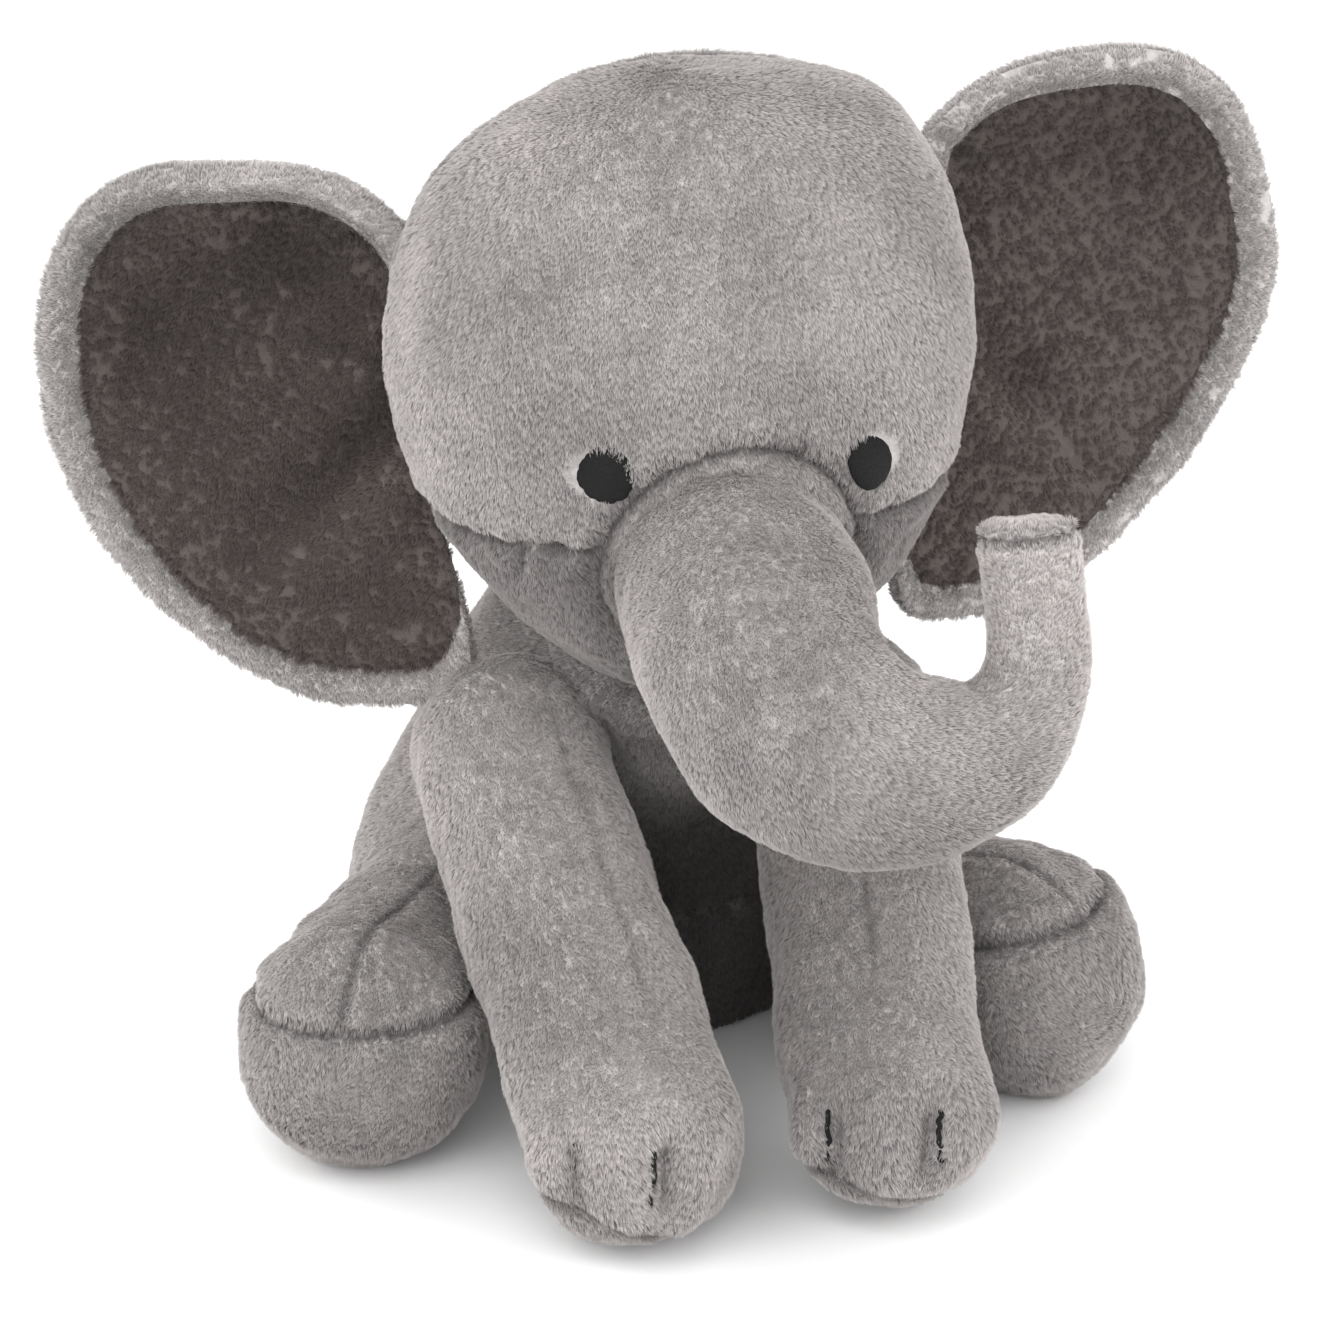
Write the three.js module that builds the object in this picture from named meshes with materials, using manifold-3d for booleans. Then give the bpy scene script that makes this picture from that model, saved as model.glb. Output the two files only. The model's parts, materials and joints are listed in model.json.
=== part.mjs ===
// A seated plush elephant: pile-fabric panels sewn into open shells, each filled with stuffing.
// Frame: +Z up, the elephant faces -Y, +X is its own left. The origin is on the flat seat.
import * as THREE from "three";
import { ConvexGeometry } from "three/addons/geometries/ConvexGeometry.js";
import { mergeVertices } from "three/addons/utils/BufferGeometryUtils.js";
import Module from "manifold-3d";

const wasm = await Module();
wasm.setup();

// ---- Driving dimensions, in millimetres and degrees ----
const FABRIC = 2.2; // pile fabric with its backing
const GAP = 0.3; // room between pieces that touch
const SLACK = 0.6; // between a shell and the stuffing in it
const JOINT_ROOM = 3.4; // room round a limb that moves in its socket, cut with few facets
const FEW = 0.6; // share of the usual facets that such room is cut with
const BALL_ROOM = 1; // room round the rounded start of the trunk's end
const EAR_ROOM = 1.2; // room round an ear's root
const SWEEP_STEP = 7; // degrees between two copies of a limb swept through its range
const CRUMB = 0.03; // nothing on a panel is smaller than this
const FAR = 500; // longer than the whole toy
const SMALL = 1e-6; // below this a length counts as nothing

// Facets around and along each shape
const FACETS = {
  limb: [14, 10],
  head: [24, 14],
  ear: [24, 8],
  body: 1.3, // times a limb's
  ring: [6, 28],
  ball: [16, 10],
  disc: 24,
  stitch: [3, 8],
};

const SEAT_HEM = 13; // height of the seat panel's edge
const HEAD = { centre: [0, -72, 186], radii: [71, 60, 76], taper: 0.1, boxiness: 0.76, roll: -3.5 };
const NECK = { pivot: [0, -60, 104.5], ring: 20, thread: 1.2, mouth: 30 };
const FACE_SEAM = 161; // height of the seam between the crown panel and the cheeks
const BACK_SEAM = -62; // where the crown panel meets the back of the head
const EYE = { radius: 6, thickness: 1.2, apart: 33, height: 178 };
const EAR = { root: [63, -54, 184], length: 99, up: 60, down: 81, thickness: 13, hem: 11, roll: -4.5 };
const EAR_CUP = 7; // how far the ear's middle is set back from its rim
const EAR_EDGE = { lean: 25, inset: 4, flare: 6 }; // how the outline runs in towards the head
const EAR_ROUND = { corner: 1.2, edge: 0.87 }; // powers: under 1 is fuller than an ellipse
const EAR_SWEEP = { left: 9, right: 30 }; // degrees that each ear is swept back
const TRUNK_TIP = { radius: 10.6, thickness: 2 };
const FOOT_SEAM = { front: 9, hind: 44 }; // height of the level seam round each foot
const TOE_STITCH = { radius: 0.8, length: 13, apart: 10.5, aside: -8.5, height: 27 };
const TAIL = { from: [0, 66, 40], to: [0, 92, 17], radius: 6.5 };

// How far each seam bends, in degrees: ears fold forward, the trunk and front legs lift, hind legs splay.
const BEND = {
  headTurn: [-15, 15],
  headNod: [-10, 10],
  ear: [-15, 25],
  trunkLift: [-10, 25],
  trunkCurl: [-15, 15],
  frontLeg: [-2, 18],
  hindLeg: [0, 25],
  tail: [-20, 30],
};

const X_AXIS = new THREE.Vector3(1, 0, 0);
const LIFT_AXIS = new THREE.Vector3(-1, 0, 0);
const Y_AXIS = new THREE.Vector3(0, 1, 0);
const Z_AXIS = new THREE.Vector3(0, 0, 1);
const point = (coordinates) => new THREE.Vector3(...coordinates);
const mirrored = ([x, y, z], side) => [side * x, y, z];

// ---- Solids: three.js geometry in, manifold-3d booleans, three.js geometry out ----
function solid(geometry) {
  const bare = geometry.clone();
  bare.deleteAttribute("normal");
  bare.deleteAttribute("uv");
  const merged = mergeVertices(bare, 1e-4);
  const mesh = new wasm.Mesh({
    numProp: 3,
    vertProperties: new Float32Array(merged.attributes.position.array),
    triVerts: new Uint32Array(merged.index.array),
  });
  return new wasm.Manifold(mesh);
}

// The largest body of a solid: a cut may leave a crumb of fabric behind, which is dropped.
function largest(body) {
  return body.decompose().reduce((best, one) => (one.volume() > best.volume() ? one : best));
}

function bareGeometry(body) {
  const mesh = body.getMesh();
  const geometry = new THREE.BufferGeometry();
  geometry.setAttribute("position", new THREE.BufferAttribute(mesh.vertProperties, 3));
  geometry.setIndex(new THREE.BufferAttribute(mesh.triVerts, 1));
  return geometry;
}

// Edges shorter than CRUMB are closed up, so that no sliver holds a crumb on.
function geometryOf(body) {
  const geometry = bareGeometry(largest(largest(body).simplify(CRUMB)));
  geometry.computeVertexNormals();
  return geometry;
}

// Everything on the side of a plane that its normal points to.
function halfSpace(planePoint, normal) {
  const box = new THREE.BoxGeometry(FAR, FAR, FAR).translate(0, 0, FAR / 2);
  const turn = new THREE.Quaternion().setFromUnitVectors(Z_AXIS, normal.clone().normalize());
  box.applyQuaternion(turn).translate(...planePoint.toArray());
  return solid(box);
}

// A body cut in two along a plane, with a seam gap between the halves.
function sewnHalves(body, planePoint, normal) {
  const step = normal.clone().setLength(GAP / 2);
  const front = body.intersect(halfSpace(planePoint.clone().add(step), normal));
  const back = body.intersect(halfSpace(planePoint.clone().sub(step), normal.clone().negate()));
  return [front, back];
}

function turned(geometry, pivot, axis, degrees) {
  const turn = new THREE.Quaternion().setFromAxisAngle(axis, THREE.MathUtils.degToRad(degrees));
  const copy = geometry.clone().translate(-pivot.x, -pivot.y, -pivot.z);
  return copy.applyQuaternion(turn).translate(...pivot.toArray());
}

// The room that a limb needs: a convex wrap round copies of it at steps through its bend.
function sweptRoom(geometry, pivot, axis, [low, high]) {
  const steps = Math.ceil((high - low) / SWEEP_STEP);
  const corners = [];
  for (let i = 0; i <= steps; i++) {
    const copy = turned(geometry, pivot, axis, low + ((high - low) * i) / steps).attributes.position;
    for (let k = 0; k < copy.count; k++) corners.push(new THREE.Vector3().fromBufferAttribute(copy, k));
  }
  return solid(new ConvexGeometry(corners));
}

// ---- Shapes: each is a sphere whose points are carried to a new place ----
function reshaped(around, along, place) {
  const sphere = new THREE.SphereGeometry(1, around, along);
  const at = sphere.attributes.position;
  const unit = new THREE.Vector3();
  for (let i = 0; i < at.count; i++) {
    unit.fromBufferAttribute(at, i);
    at.setXYZ(i, ...place(unit).toArray());
  }
  return sphere;
}

// A stuffed tube along a path: an ellipse at each step and a round cap at each end.
function limb({ points, widths, depths = widths, side = X_AXIS, blunt = [1, 1] }, grow = 0, detail = 1) {
  const path = points.map(point);
  const last = path.length - 1;
  const startCap = (widths[0] + grow) * blunt[0];
  const endCap = (widths[last] + grow) * blunt[1];
  const start = path[0].clone().sub(path[1]).setLength(startCap).add(path[0]);
  const end = path[last].clone().sub(path[last - 1]).setLength(endCap).add(path[last]);
  const curve = new THREE.CatmullRomCurve3([start, ...path, end]);
  const ends = [widths[0], ...widths, widths[last]].map(
    (w, i) => new THREE.Vector3(w, [depths[0], ...depths, depths[last]][i], 0),
  );
  const sizes = new THREE.CatmullRomCurve3(ends);
  const length = curve.getLength();
  const capAt = (distance, cap) => Math.sqrt(1 - Math.max(0, 1 - distance / cap) ** 2);
  const [around, along] = FACETS.limb.map((facets) => Math.round(facets * detail));
  return reshaped(around, along, (unit) => {
    const s = THREE.MathUtils.clamp((1 - unit.y) / 2, 0, 1);
    const t = curve.getUtoTmapping(s);
    const tangent = curve.getTangent(t);
    const across = side.clone().addScaledVector(tangent, -side.dot(tangent)).normalize();
    const over = tangent.clone().cross(across);
    const size = sizes.getPoint(t);
    const round = capAt(s * length, startCap) * capAt((1 - s) * length, endCap);
    const ring = Math.hypot(unit.x, unit.z) || 1;
    return curve
      .getPoint(t)
      .addScaledVector(across, ((size.x + grow) * round * unit.x) / ring)
      .addScaledVector(over, ((size.y + grow) * round * unit.z) / ring);
  });
}

// The head: an egg, wider and boxier at the crown, rolled a little towards its right side.
function headShape(grow, detail = 1) {
  const [a, b, c] = HEAD.radii;
  const [around, along] = FACETS.head.map((facets) => Math.round(facets * detail));
  const egg = reshaped(around, along, (unit) => {
    const level = unit.y;
    const lift = Math.hypot(unit.x, unit.z);
    const wide = level > 0 && lift > SMALL ? lift ** (HEAD.boxiness - 1) : 1;
    const taper = 1 + HEAD.taper * level;
    return new THREE.Vector3(
      (a + grow) * unit.x * wide * taper,
      -(b + grow) * unit.z * wide,
      (c + grow) * level,
    );
  });
  egg.rotateY(THREE.MathUtils.degToRad(HEAD.roll));
  return egg.translate(...HEAD.centre);
}

// An ear's own frame: out from the head, up along the seam, and forward.
function earFrame(side) {
  const sweep = THREE.MathUtils.degToRad(side > 0 ? EAR_SWEEP.left : EAR_SWEEP.right);
  const out = new THREE.Vector3(side * Math.cos(sweep), Math.sin(sweep), 0);
  const forward = new THREE.Vector3(side * Math.sin(sweep), -Math.cos(sweep), 0);
  const up = Z_AXIS.clone();
  const roll = new THREE.Quaternion().setFromAxisAngle(Y_AXIS, THREE.MathUtils.degToRad(EAR.roll));
  const root = point(mirrored(EAR.root, side)).sub(point(HEAD.centre)).applyQuaternion(roll);
  root.add(point(HEAD.centre));
  return {
    root,
    out: out.applyQuaternion(roll),
    up: up.applyQuaternion(roll),
    forward: forward.applyQuaternion(roll),
  };
}

const signedPower = (value, power) => Math.sign(value) * Math.abs(value) ** power;

// The ear's outline from its middle: round above, and below it runs in towards the head.
function earReach(angle) {
  const [along, rise] = [Math.cos(angle), Math.sin(angle)];
  const [high, lean] = rise > 0 ? [EAR.up, 0] : [EAR.down, EAR_EDGE.lean];
  const towardsRoot = EAR_EDGE.flare * Math.max(0, -rise) - EAR_EDGE.inset;
  const half = EAR.length / 2 + (along < 0 ? towardsRoot : 0);
  const power = rise < 0 && along > 0 ? EAR_ROUND.corner : EAR_ROUND.edge;
  return [half * signedPower(along, power) - lean * rise ** 2, high * signedPower(rise, power)];
}

// The ear: a flat pillow inside its outline, its middle set back so that it cups forward.
function earShape(side, grow, front = EAR.thickness / 2 + grow, back = EAR.thickness / 2 + grow) {
  const { root, out, up, forward } = earFrame(side);
  const middle = EAR.length / 2;
  const size = 1 + grow / middle;
  return reshaped(...FACETS.ear, (unit) => {
    const across = Math.hypot(unit.x, unit.z);
    const [outward, upward] = earReach(Math.atan2(-side * unit.z, unit.x));
    const lift = (unit.y > 0 ? front : back) * unit.y + EAR_CUP * (across ** 2 - 1);
    return root
      .clone()
      .addScaledVector(out, middle + outward * across * size)
      .addScaledVector(up, upward * across * size)
      .addScaledVector(forward, lift);
  });
}

// ---- The limbs' paths ----
const TORSO = {
  points: [[0, 7, 24], [0, 0, 56], [0, -24, 92], [0, -46, 108]],
  widths: [72, 64, 51, 38],
  depths: [61, 56, 46, 33],
  blunt: [0.6, 0.5],
};
const frontLeg = (side) => ({
  points: [[42, -68, 92], [39, -97, 69], [34, -128, 44], [31, -152, 27]].map((p) => mirrored(p, side)),
  widths: [25, 25, 24.5, 26],
  blunt: [1, 0.9],
});
const hindLeg = (side) => ({
  points: [[46, -22, 31], [67, -58, 30], [85, -92, 30.5]].map((p) => mirrored(p, side)),
  widths: [28, 28, 31.5],
  blunt: [1, 0.95],
});
const TRUNK_SIDE = new THREE.Vector3(0.6, -0.6, 0.5);
const TRUNK_ROOT = {
  points: [[0, -118, 152], [-3, -146, 150], [-5, -168, 144], [0, -184, 136], [12, -191, 130.5]],
  widths: [28.5, 28.5, 28, 27, 25],
  side: TRUNK_SIDE,
};
const TRUNK_END = {
  points: [
    [12, -191, 130.5],
    [28, -193, 129],
    [41, -192, 132],
    [49, -190, 144],
    [50, -187, 161],
    [49, -184, 178],
  ],
  widths: [24.5, 20.5, 16, 13, 12, 11],
  side: TRUNK_SIDE,
};
const TAIL_LIMB = { points: [TAIL.from, TAIL.to], widths: [TAIL.radius, TAIL.radius * 0.8] };

// ---- Materials: the pile fabric in its shades, thread, stuffing ----
const cloth = (color) => new THREE.MeshStandardMaterial({ color, roughness: 0.95, metalness: 0 });
const plush = cloth(0xa09b98);
const lining = cloth(0x5b544f);
const thread = cloth(0x0b0b0b);
const filling = cloth(0xf2f0ea);

function mesh(name, body, material) {
  const made = new THREE.Mesh(geometryOf(body), material.clone());
  made.name = name;
  return made;
}

// A group hung on its parent by a seam: its meshes are stored about the pivot that it is placed at.
function hang(parent, pivot, ...meshes) {
  const group = new THREE.Group();
  for (const one of meshes) one.geometry.translate(-pivot.x, -pivot.y, -pivot.z);
  group.add(...meshes);
  group.userData.pivot = pivot;
  group.position.copy(pivot).sub(parent.userData.pivot);
  parent.add(group);
  return group;
}

// The fabric shell of a shape and the stuffing in it.
const skinOf = (shape) => solid(shape(0)).subtract(solid(shape(-FABRIC)));
const stuffingOf = (shape) => solid(shape(-FABRIC - SLACK));

const floor = halfSpace(point([0, 0, 0]), Z_AXIS);
const insideFloor = halfSpace(point([0, 0, FABRIC]), Z_AXIS);
const stuffingFloor = halfSpace(point([0, 0, FABRIC + SLACK]), Z_AXIS);

// A leg's skin rests flat on the floor and is open where it is sewn on. It has a foot panel under
// a level seam and two panels above it, sewn together down the middle of the leg.
function leg(name, shape, footSeam, panelNames) {
  const pivot = point(shape.points[0]);
  const away = point(shape.points.at(-1)).sub(pivot).normalize();
  const outward = X_AXIS.clone().multiplyScalar(Math.sign(pivot.x));
  outward.addScaledVector(away, -outward.dot(away));
  const outer = solid(limb(shape)).intersect(floor);
  const inner = solid(limb(shape, -FABRIC)).intersect(insideFloor);
  const skin = outer.subtract(inner).intersect(halfSpace(pivot, away));
  const stuffing = solid(limb(shape, -FABRIC - SLACK)).intersect(stuffingFloor);
  const [upper, foot] = sewnHalves(skin, point([0, 0, footSeam]), Z_AXIS);
  const [outerPanel, innerPanel] = sewnHalves(upper, pivot, outward);
  return [
    mesh(`${name}_${panelNames[0]}`, outerPanel, plush),
    mesh(`${name}_${panelNames[1]}`, innerPanel, plush),
    mesh(`${name}_${panelNames[2]}`, foot, plush),
    mesh(`${name}_stuffing`, stuffing, filling),
  ];
}

// A spot on a surface, found along a straight line, with the way that the surface faces there.
function spotOn(geometry, from, direction) {
  const ray = new THREE.Raycaster(from, direction.clone().normalize());
  const hit = ray.intersectObject(new THREE.Mesh(geometry))[0];
  return { at: hit.point, normal: hit.face.normal.clone() };
}

// A small piece laid on a surface: its own +Y turns to the surface's normal and its +Z points down it.
function laidOn({ at, normal }, geometry, proud) {
  const across = normal.clone().cross(Z_AXIS.clone().negate()).normalize();
  const basis = new THREE.Matrix4().makeBasis(across, normal, across.clone().cross(normal));
  basis.setPosition(at.clone().addScaledVector(normal, proud));
  return solid(geometry.applyMatrix4(basis));
}

// ---- Room for what moves ----
const sides = { left: 1, right: -1 };
const headPivot = point(NECK.pivot);
const trunkPivot = point(TRUNK_ROOT.points[0]);
const curlPivot = point(TRUNK_END.points[0]);
const tailPivot = point(TAIL.from);

const nodRoom = sweptRoom(headShape(JOINT_ROOM, FEW), headPivot, X_AXIS, BEND.headNod);
const turnRoom = sweptRoom(headShape(JOINT_ROOM, FEW), headPivot, Z_AXIS, BEND.headTurn);
const neckRing = (thickness) => {
  const ring = new THREE.TorusGeometry(NECK.ring, thickness, ...FACETS.ring);
  return solid(ring.translate(...NECK.pivot));
};
const trunkRoom = sweptRoom(limb(TRUNK_ROOT, JOINT_ROOM, FEW), trunkPivot, LIFT_AXIS, BEND.trunkLift);
const curlBall = new THREE.SphereGeometry(TRUNK_END.widths[0] + BALL_ROOM, ...FACETS.ball);
const curlRoom = solid(curlBall.translate(...curlPivot.toArray()));
const tailRoom = sweptRoom(limb(TAIL_LIMB, JOINT_ROOM, FEW), tailPivot, X_AXIS, BEND.tail);

const elephant = new THREE.Group();
elephant.userData.pivot = point([0, 0, 0]);

// ---- Legs ----
let legRoom = tailRoom;
for (const [sideName, side] of Object.entries(sides)) {
  const front = frontLeg(side);
  const frontPivot = point(front.points[0]);
  const frontMeshes = leg(`front_leg_${sideName}`, front, FOOT_SEAM.front, ["outer", "inner", "sole"]);
  const foot = limb(front);
  const toes = point(front.points.at(-1));
  for (const [stitchName, shift] of [["outer", side], ["inner", -side]]) {
    const across = toes.x + shift * TOE_STITCH.apart + TOE_STITCH.aside;
    const from = new THREE.Vector3(across, -FAR, TOE_STITCH.height);
    const spot = spotOn(foot, from, Y_AXIS);
    const stitch = new THREE.CapsuleGeometry(TOE_STITCH.radius, TOE_STITCH.length, ...FACETS.stitch);
    stitch.rotateX(Math.PI / 2);
    const laid = laidOn(spot, stitch, TOE_STITCH.radius + GAP);
    frontMeshes.push(mesh(`toe_stitch_${sideName}_${stitchName}`, laid, thread));
  }
  hang(elephant, frontPivot, ...frontMeshes);
  legRoom = legRoom.add(sweptRoom(limb(front, JOINT_ROOM, FEW), frontPivot, LIFT_AXIS, BEND.frontLeg));

  const hind = hindLeg(side);
  const hindPivot = point(hind.points[0]);
  const hindMeshes = leg(`hind_leg_${sideName}`, hind, FOOT_SEAM.hind, ["outer", "inner", "foot"]);
  hang(elephant, hindPivot, ...hindMeshes);
  const splayAxis = Z_AXIS.clone().multiplyScalar(side);
  legRoom = legRoom.add(sweptRoom(limb(hind, JOINT_ROOM, FEW), hindPivot, splayAxis, BEND.hindLeg));
}

// ---- Body ----
const bodyRoom = legRoom.add(nodRoom).add(turnRoom).add(neckRing(NECK.thread + JOINT_ROOM));
const torso = (grow, above) => solid(limb(TORSO, grow, FACETS.body)).intersect(above);
const torsoSkin = torso(0, floor).subtract(torso(-FABRIC, insideFloor));
const [torsoUpper, seat] = sewnHalves(torsoSkin, point([0, 0, SEAT_HEM]), Z_AXIS);
const [torsoLeft, torsoRight] = sewnHalves(torsoUpper, point([0, 0, 0]), X_AXIS);
const torsoStuffing = torso(-FABRIC - SLACK, stuffingFloor);
elephant.add(
  mesh("body_panel_left", torsoLeft.subtract(bodyRoom), plush),
  mesh("body_panel_right", torsoRight.subtract(bodyRoom), plush),
  mesh("seat_panel", seat.subtract(bodyRoom), plush),
  mesh("body_stuffing", torsoStuffing.subtract(bodyRoom), filling),
);

// ---- Tail: one sewn tube, with no stuffing ----
hang(elephant, tailPivot, mesh("tail", solid(limb(TAIL_LIMB)), plush));

// ---- Neck: the ring of thread that closes the head to the body ----
const neck = hang(elephant, headPivot, mesh("neck_seam_thread", neckRing(NECK.thread), thread));

// ---- Head ----
let headCuts = trunkRoom;
for (const [sideName, side] of Object.entries(sides)) {
  const { root, up } = earFrame(side);
  headCuts = headCuts.add(sweptRoom(earShape(side, EAR_ROOM), root, up.multiplyScalar(-side), BEND.ear));
}
const neckMouth = new THREE.CylinderGeometry(NECK.ring, NECK.ring, NECK.mouth, FACETS.disc);
neckMouth.rotateX(Math.PI / 2);
const headSkin = skinOf(headShape).subtract(solid(neckMouth.translate(...NECK.pivot))).subtract(headCuts);
const rolled = (axis) => axis.clone().applyAxisAngle(Y_AXIS, THREE.MathUtils.degToRad(HEAD.roll));
const [backOfHead, face] = sewnHalves(headSkin, point([0, BACK_SEAM, 0]), Y_AXIS);
const [crown, cheeks] = sewnHalves(face, point([0, 0, FACE_SEAM]), rolled(Z_AXIS));
const [cheekLeft, cheekRight] = sewnHalves(cheeks, point(HEAD.centre), rolled(X_AXIS));
const head = hang(
  neck,
  headPivot,
  mesh("crown_panel", crown, plush),
  mesh("back_of_head_panel", backOfHead, plush),
  mesh("cheek_panel_left", cheekLeft, plush),
  mesh("cheek_panel_right", cheekRight, plush),
  mesh("head_stuffing", stuffingOf(headShape).subtract(headCuts), filling),
);
for (const [sideName, side] of Object.entries(sides)) {
  const spot = spotOn(headShape(0), new THREE.Vector3(side * EYE.apart, -FAR, EYE.height), Y_AXIS);
  const eye = new THREE.CylinderGeometry(EYE.radius, EYE.radius, EYE.thickness, FACETS.disc);
  hang(head, headPivot, mesh(`eye_${sideName}`, laidOn(spot, eye, EYE.thickness / 2 + GAP), thread));
}

// ---- Ears: an outer panel that wraps round to the front, a lining inside its hem, and batting ----
for (const [sideName, side] of Object.entries(sides)) {
  const { root } = earFrame(side);
  const skin = skinOf((grow) => earShape(side, grow));
  const liningCut = (hem) => solid(earShape(side, -hem, EAR.length / 2, 0));
  hang(
    head,
    root,
    mesh(`ear_${sideName}_outer`, skin.subtract(liningCut(EAR.hem - GAP)), plush),
    mesh(`ear_${sideName}_lining`, skin.intersect(liningCut(EAR.hem)), lining),
    mesh(`ear_${sideName}_batting`, solid(earShape(side, -FABRIC - SLACK)), filling),
  );
}

// ---- Trunk: a thick root, and an end that curls up to a flat sewn disc ----
const openAt = (body, pivot, next) => body.intersect(halfSpace(pivot, next.clone().sub(pivot)));
const trunkRootShape = (grow) => limb(TRUNK_ROOT, grow);
const trunkEndShape = (grow) => limb(TRUNK_END, grow);
const rootNext = point(TRUNK_ROOT.points[1]);
const endNext = point(TRUNK_END.points[1]);
const tip = point(TRUNK_END.points.at(-1));
const tipWay = tip.clone().sub(point(TRUNK_END.points.at(-2))).normalize();
const behindTip = halfSpace(tip, tipWay.clone().negate());
const trunk = hang(
  head,
  trunkPivot,
  mesh("trunk_root_skin", openAt(skinOf(trunkRootShape), trunkPivot, rootNext).subtract(curlRoom), plush),
  mesh("trunk_root_stuffing", stuffingOf(trunkRootShape).subtract(curlRoom), filling),
);
const disc = new THREE.CylinderGeometry(TRUNK_TIP.radius, TRUNK_TIP.radius, TRUNK_TIP.thickness, FACETS.disc);
const tipDisc = laidOn({ at: tip, normal: tipWay }, disc, TRUNK_TIP.thickness / 2 + GAP);
hang(
  trunk,
  curlPivot,
  mesh("trunk_end_skin", openAt(skinOf(trunkEndShape), curlPivot, endNext).intersect(behindTip), plush),
  mesh("trunk_end_stuffing", stuffingOf(trunkEndShape).intersect(behindTip), filling),
  mesh("trunk_tip_disc", tipDisc, plush),
);

export default elephant;
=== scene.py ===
# %% [markdown]
# A stuffed elephant sits on a pale floor. On the real toy every part is a bag of short-pile plush,
# sewn inside out, turned and stuffed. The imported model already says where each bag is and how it
# moves, so it is loaded first, and each cover made below stands exactly where its solid is.

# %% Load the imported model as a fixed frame
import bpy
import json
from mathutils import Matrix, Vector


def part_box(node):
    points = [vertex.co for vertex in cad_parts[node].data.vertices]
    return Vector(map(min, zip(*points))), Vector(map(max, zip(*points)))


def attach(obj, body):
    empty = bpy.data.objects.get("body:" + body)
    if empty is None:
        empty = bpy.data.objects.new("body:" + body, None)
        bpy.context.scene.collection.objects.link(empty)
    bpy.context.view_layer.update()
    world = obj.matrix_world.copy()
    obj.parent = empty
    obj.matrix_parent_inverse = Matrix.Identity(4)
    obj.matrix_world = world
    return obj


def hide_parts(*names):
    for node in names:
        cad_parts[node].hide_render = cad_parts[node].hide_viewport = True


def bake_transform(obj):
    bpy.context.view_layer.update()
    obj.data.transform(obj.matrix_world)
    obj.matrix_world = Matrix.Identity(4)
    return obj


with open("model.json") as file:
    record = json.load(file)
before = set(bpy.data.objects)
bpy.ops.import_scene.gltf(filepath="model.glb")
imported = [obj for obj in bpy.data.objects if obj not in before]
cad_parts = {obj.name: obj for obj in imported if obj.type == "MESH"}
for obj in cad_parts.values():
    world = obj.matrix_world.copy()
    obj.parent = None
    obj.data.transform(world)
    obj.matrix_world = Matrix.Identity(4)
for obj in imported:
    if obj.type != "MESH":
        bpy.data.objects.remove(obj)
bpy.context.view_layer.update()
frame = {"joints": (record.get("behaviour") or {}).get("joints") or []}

import json
import math

import bpy
import numpy as np
from mathutils import Matrix, Vector

MM = 0.001
JOINTS = {joint["name"]: joint for joint in frame["joints"]}


def pivot(joint):
    """Where a joint turns, in millimetres."""
    return np.array(JOINTS[joint]["pos_m"]) / MM


def middle(node):
    """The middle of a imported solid's box, in millimetres."""
    low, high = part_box(node)
    return (np.array(low) + np.array(high)) / 2 / MM


# %% [markdown]
# The camera and the lights come first, so that every later step can be looked at. The toy is seen
# from a little to its right and a little above, through a long lens. The light is a bright white
# room, which fills the pile from all sides, with four soft lamps: a large one in front to the left,
# a weaker one in front to the right, and one behind on each side that picks out the edges.

# %% Camera
AIM = Vector((-0.005, -0.070, 0.113))
CAMERA_TURN = math.radians(-14)
CAMERA_RISE = math.radians(20)
CAMERA_AWAY = 1.0
CAMERA_LENS = 112

camera_way = Vector(
    (
        math.sin(CAMERA_TURN) * math.cos(CAMERA_RISE),
        -math.cos(CAMERA_TURN) * math.cos(CAMERA_RISE),
        math.sin(CAMERA_RISE),
    )
)
camera_data = bpy.data.cameras.new("camera")
camera_data.lens = CAMERA_LENS
camera_data.sensor_width = 36
camera = bpy.data.objects.new("camera", camera_data)
camera.location = AIM + camera_way * CAMERA_AWAY
camera.rotation_euler = camera_way.to_track_quat("Z", "Y").to_euler()
bpy.context.scene.collection.objects.link(camera)
bpy.context.scene.camera = camera
print("camera at", [round(x, 3) for x in camera.location])


# %% Lights
def lamp(name, place, size, power):
    """A square soft lamp at a place, turned to the toy."""
    data = bpy.data.lights.new(name, "AREA")
    data.size = size
    data.energy = power
    light = bpy.data.objects.new(name, data)
    light.location = place
    light.rotation_euler = (Vector(place) - AIM).to_track_quat("Z", "Y").to_euler()
    bpy.context.scene.collection.objects.link(light)
    return light


lamp("key", (-0.5, -0.9, 0.8), 1.2, 11.5)
lamp("fill", (0.9, -0.8, 0.5), 1.0, 6.0)
lamp("left_rim", (-1.1, 0.5, 0.5), 0.8, 7.0)
lamp("right_rim", (1.1, 0.5, 0.5), 0.8, 5.0)
world = bpy.data.worlds.new("white_room")
bpy.context.scene.world = world
world.use_nodes = True
world.node_tree.nodes["Background"].inputs["Color"].default_value = (1, 1, 1, 1)
world.node_tree.nodes["Background"].inputs["Strength"].default_value = 1.0
bpy.context.scene.view_settings.view_transform = "Standard"


# %% [markdown]
# A finish is a small program of shader nodes. Written out node by node it is hard to read, so a
# value in the shader is wrapped in a class whose operators add the Math nodes: `1 - mask * 0.5`
# reads as it would on paper. Every other kind of node comes from one method.

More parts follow.
